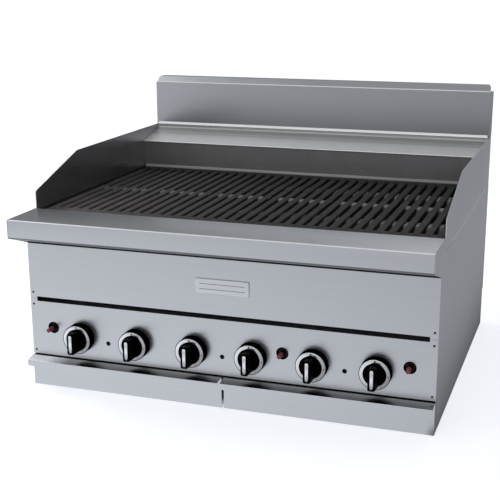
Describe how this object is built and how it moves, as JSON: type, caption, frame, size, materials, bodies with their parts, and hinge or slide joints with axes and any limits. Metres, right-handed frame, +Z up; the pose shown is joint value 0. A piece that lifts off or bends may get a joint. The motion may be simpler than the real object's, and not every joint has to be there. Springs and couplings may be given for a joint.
{
  "type": "gas charbroiler",
  "caption": "Counter-top gas radiant charbroiler: stainless body, landing rail, cast grates between splashes, back splash, control knobs, igniter buttons and pull-out drip trays.",
  "frame": {"origin": "on the flat underside of the base frame's centre rail, centred on the width, 377 mm behind the front panels' plane (middle of the 754 mm deep body)", "axes": "+X to the user's right, +Y to the rear, +Z up"},
  "size_m": [0.9, 0.8316, 0.621],
  "materials": {
    "stainless_panel": "satin brushed stainless steel",
    "dark_steel": "heat-darkened steel",
    "frame_steel": "mill-finish steel",
    "cast_iron": "seasoned cast iron",
    "chrome_ring": "polished, black rim",
    "knob_black": "satin black with silver pointer",
    "igniter_black": "matte black",
    "button_red": "gloss red",
    "valve_brass": "machined brass",
    "badge_metal": "satin, blank"
  },
  "bodies": {
    "cabinet": {"left_side_panel": "stainless_panel", "right_side_panel": "stainless_panel", "left_side_splash": "stainless_panel", "right_side_splash": "stainless_panel", "back_panel": "stainless_panel", "back_splash": "stainless_panel", "flue_shelf": "stainless_panel", "plate_rail": "stainless_panel", "upper_front_panel": "stainless_panel", "valve_panel": "stainless_panel", "firebox_rear_wall": "dark_steel", "front_heat_shield": "dark_steel", "base_frame": "frame_steel", "grate_frame": "frame_steel", "gas_manifold": "frame_steel", "burner_1": "cast_iron", "radiant_1": "cast_iron", "knob_bezel_1": "chrome_ring", "gas_valve_1": "valve_brass", "burner_2": "cast_iron", "radiant_2": "cast_iron", "knob_bezel_2": "chrome_ring", "gas_valve_2": "valve_brass", "burner_3": "cast_iron", "radiant_3": "cast_iron", "knob_bezel_3": "chrome_ring", "gas_valve_3": "valve_brass", "burner_4": "cast_iron", "radiant_4": "cast_iron", "knob_bezel_4": "chrome_ring", "gas_valve_4": "valve_brass", "burner_5": "cast_iron", "radiant_5": "cast_iron", "knob_bezel_5": "chrome_ring", "gas_valve_5": "valve_brass", "burner_6": "cast_iron", "radiant_6": "cast_iron", "knob_bezel_6": "chrome_ring", "gas_valve_6": "valve_brass", "igniter_1": "igniter_black", "igniter_2": "igniter_black", "igniter_3": "igniter_black", "name_plate": "badge_metal"},
    "knob_1": {"knob_1": "knob_black"},
    "knob_2": {"knob_2": "knob_black"},
    "knob_3": {"knob_3": "knob_black"},
    "knob_4": {"knob_4": "knob_black"},
    "knob_5": {"knob_5": "knob_black"},
    "knob_6": {"knob_6": "knob_black"},
    "igniter_button_1": {"igniter_button_1": "button_red"},
    "igniter_button_2": {"igniter_button_2": "button_red"},
    "igniter_button_3": {"igniter_button_3": "button_red"},
    "drip_tray_left": {"drip_tray_left": "stainless_panel"},
    "drip_tray_right": {"drip_tray_right": "stainless_panel"},
    "grate_1": {"grate_1": "cast_iron"},
    "grate_2": {"grate_2": "cast_iron"},
    "grate_3": {"grate_3": "cast_iron"},
    "grate_4": {"grate_4": "cast_iron"},
    "grate_5": {"grate_5": "cast_iron"},
    "grate_6": {"grate_6": "cast_iron"}
  },
  "joints": [
    {"name": "knob_1_turn", "type": "hinge", "parent": "cabinet", "child": "knob_1", "pos_m": [-0.33, -0.397, 0.1225], "axis": [0, -1, 0], "range_deg": [0, 180]},
    {"name": "knob_2_turn", "type": "hinge", "parent": "cabinet", "child": "knob_2", "pos_m": [-0.198, -0.397, 0.1225], "axis": [0, -1, 0], "range_deg": [0, 180]},
    {"name": "knob_3_turn", "type": "hinge", "parent": "cabinet", "child": "knob_3", "pos_m": [-0.066, -0.397, 0.1225], "axis": [0, -1, 0], "range_deg": [0, 180]},
    {"name": "knob_4_turn", "type": "hinge", "parent": "cabinet", "child": "knob_4", "pos_m": [0.066, -0.397, 0.1225], "axis": [0, -1, 0], "range_deg": [0, 180]},
    {"name": "knob_5_turn", "type": "hinge", "parent": "cabinet", "child": "knob_5", "pos_m": [0.198, -0.397, 0.1225], "axis": [0, -1, 0], "range_deg": [0, 180]},
    {"name": "knob_6_turn", "type": "hinge", "parent": "cabinet", "child": "knob_6", "pos_m": [0.33, -0.397, 0.1225], "axis": [0, -1, 0], "range_deg": [0, 180]},
    {"name": "igniter_button_1_push", "type": "slide", "parent": "cabinet", "child": "igniter_button_1", "axis": [0, 1, 0], "range_m": [0, 0.006]},
    {"name": "igniter_button_2_push", "type": "slide", "parent": "cabinet", "child": "igniter_button_2", "axis": [0, 1, 0], "range_m": [0, 0.006]},
    {"name": "igniter_button_3_push", "type": "slide", "parent": "cabinet", "child": "igniter_button_3", "axis": [0, 1, 0], "range_m": [0, 0.006]},
    {"name": "drip_tray_left_pull", "type": "slide", "parent": "cabinet", "child": "drip_tray_left", "axis": [0, -1, 0], "range_m": [0, 0.5]},
    {"name": "drip_tray_right_pull", "type": "slide", "parent": "cabinet", "child": "drip_tray_right", "axis": [0, -1, 0], "range_m": [0, 0.5]},
    {"name": "grate_1_lift", "type": "slide", "parent": "cabinet", "child": "grate_1", "axis": [0, 0, 1], "range_m": [0, 0.15]},
    {"name": "grate_2_lift", "type": "slide", "parent": "cabinet", "child": "grate_2", "axis": [0, 0, 1], "range_m": [0, 0.15]},
    {"name": "grate_3_lift", "type": "slide", "parent": "cabinet", "child": "grate_3", "axis": [0, 0, 1], "range_m": [0, 0.15]},
    {"name": "grate_4_lift", "type": "slide", "parent": "cabinet", "child": "grate_4", "axis": [0, 0, 1], "range_m": [0, 0.15]},
    {"name": "grate_5_lift", "type": "slide", "parent": "cabinet", "child": "grate_5", "axis": [0, 0, 1], "range_m": [0, 0.15]},
    {"name": "grate_6_lift", "type": "slide", "parent": "cabinet", "child": "grate_6", "axis": [0, 0, 1], "range_m": [0, 0.15]}
  ]
}
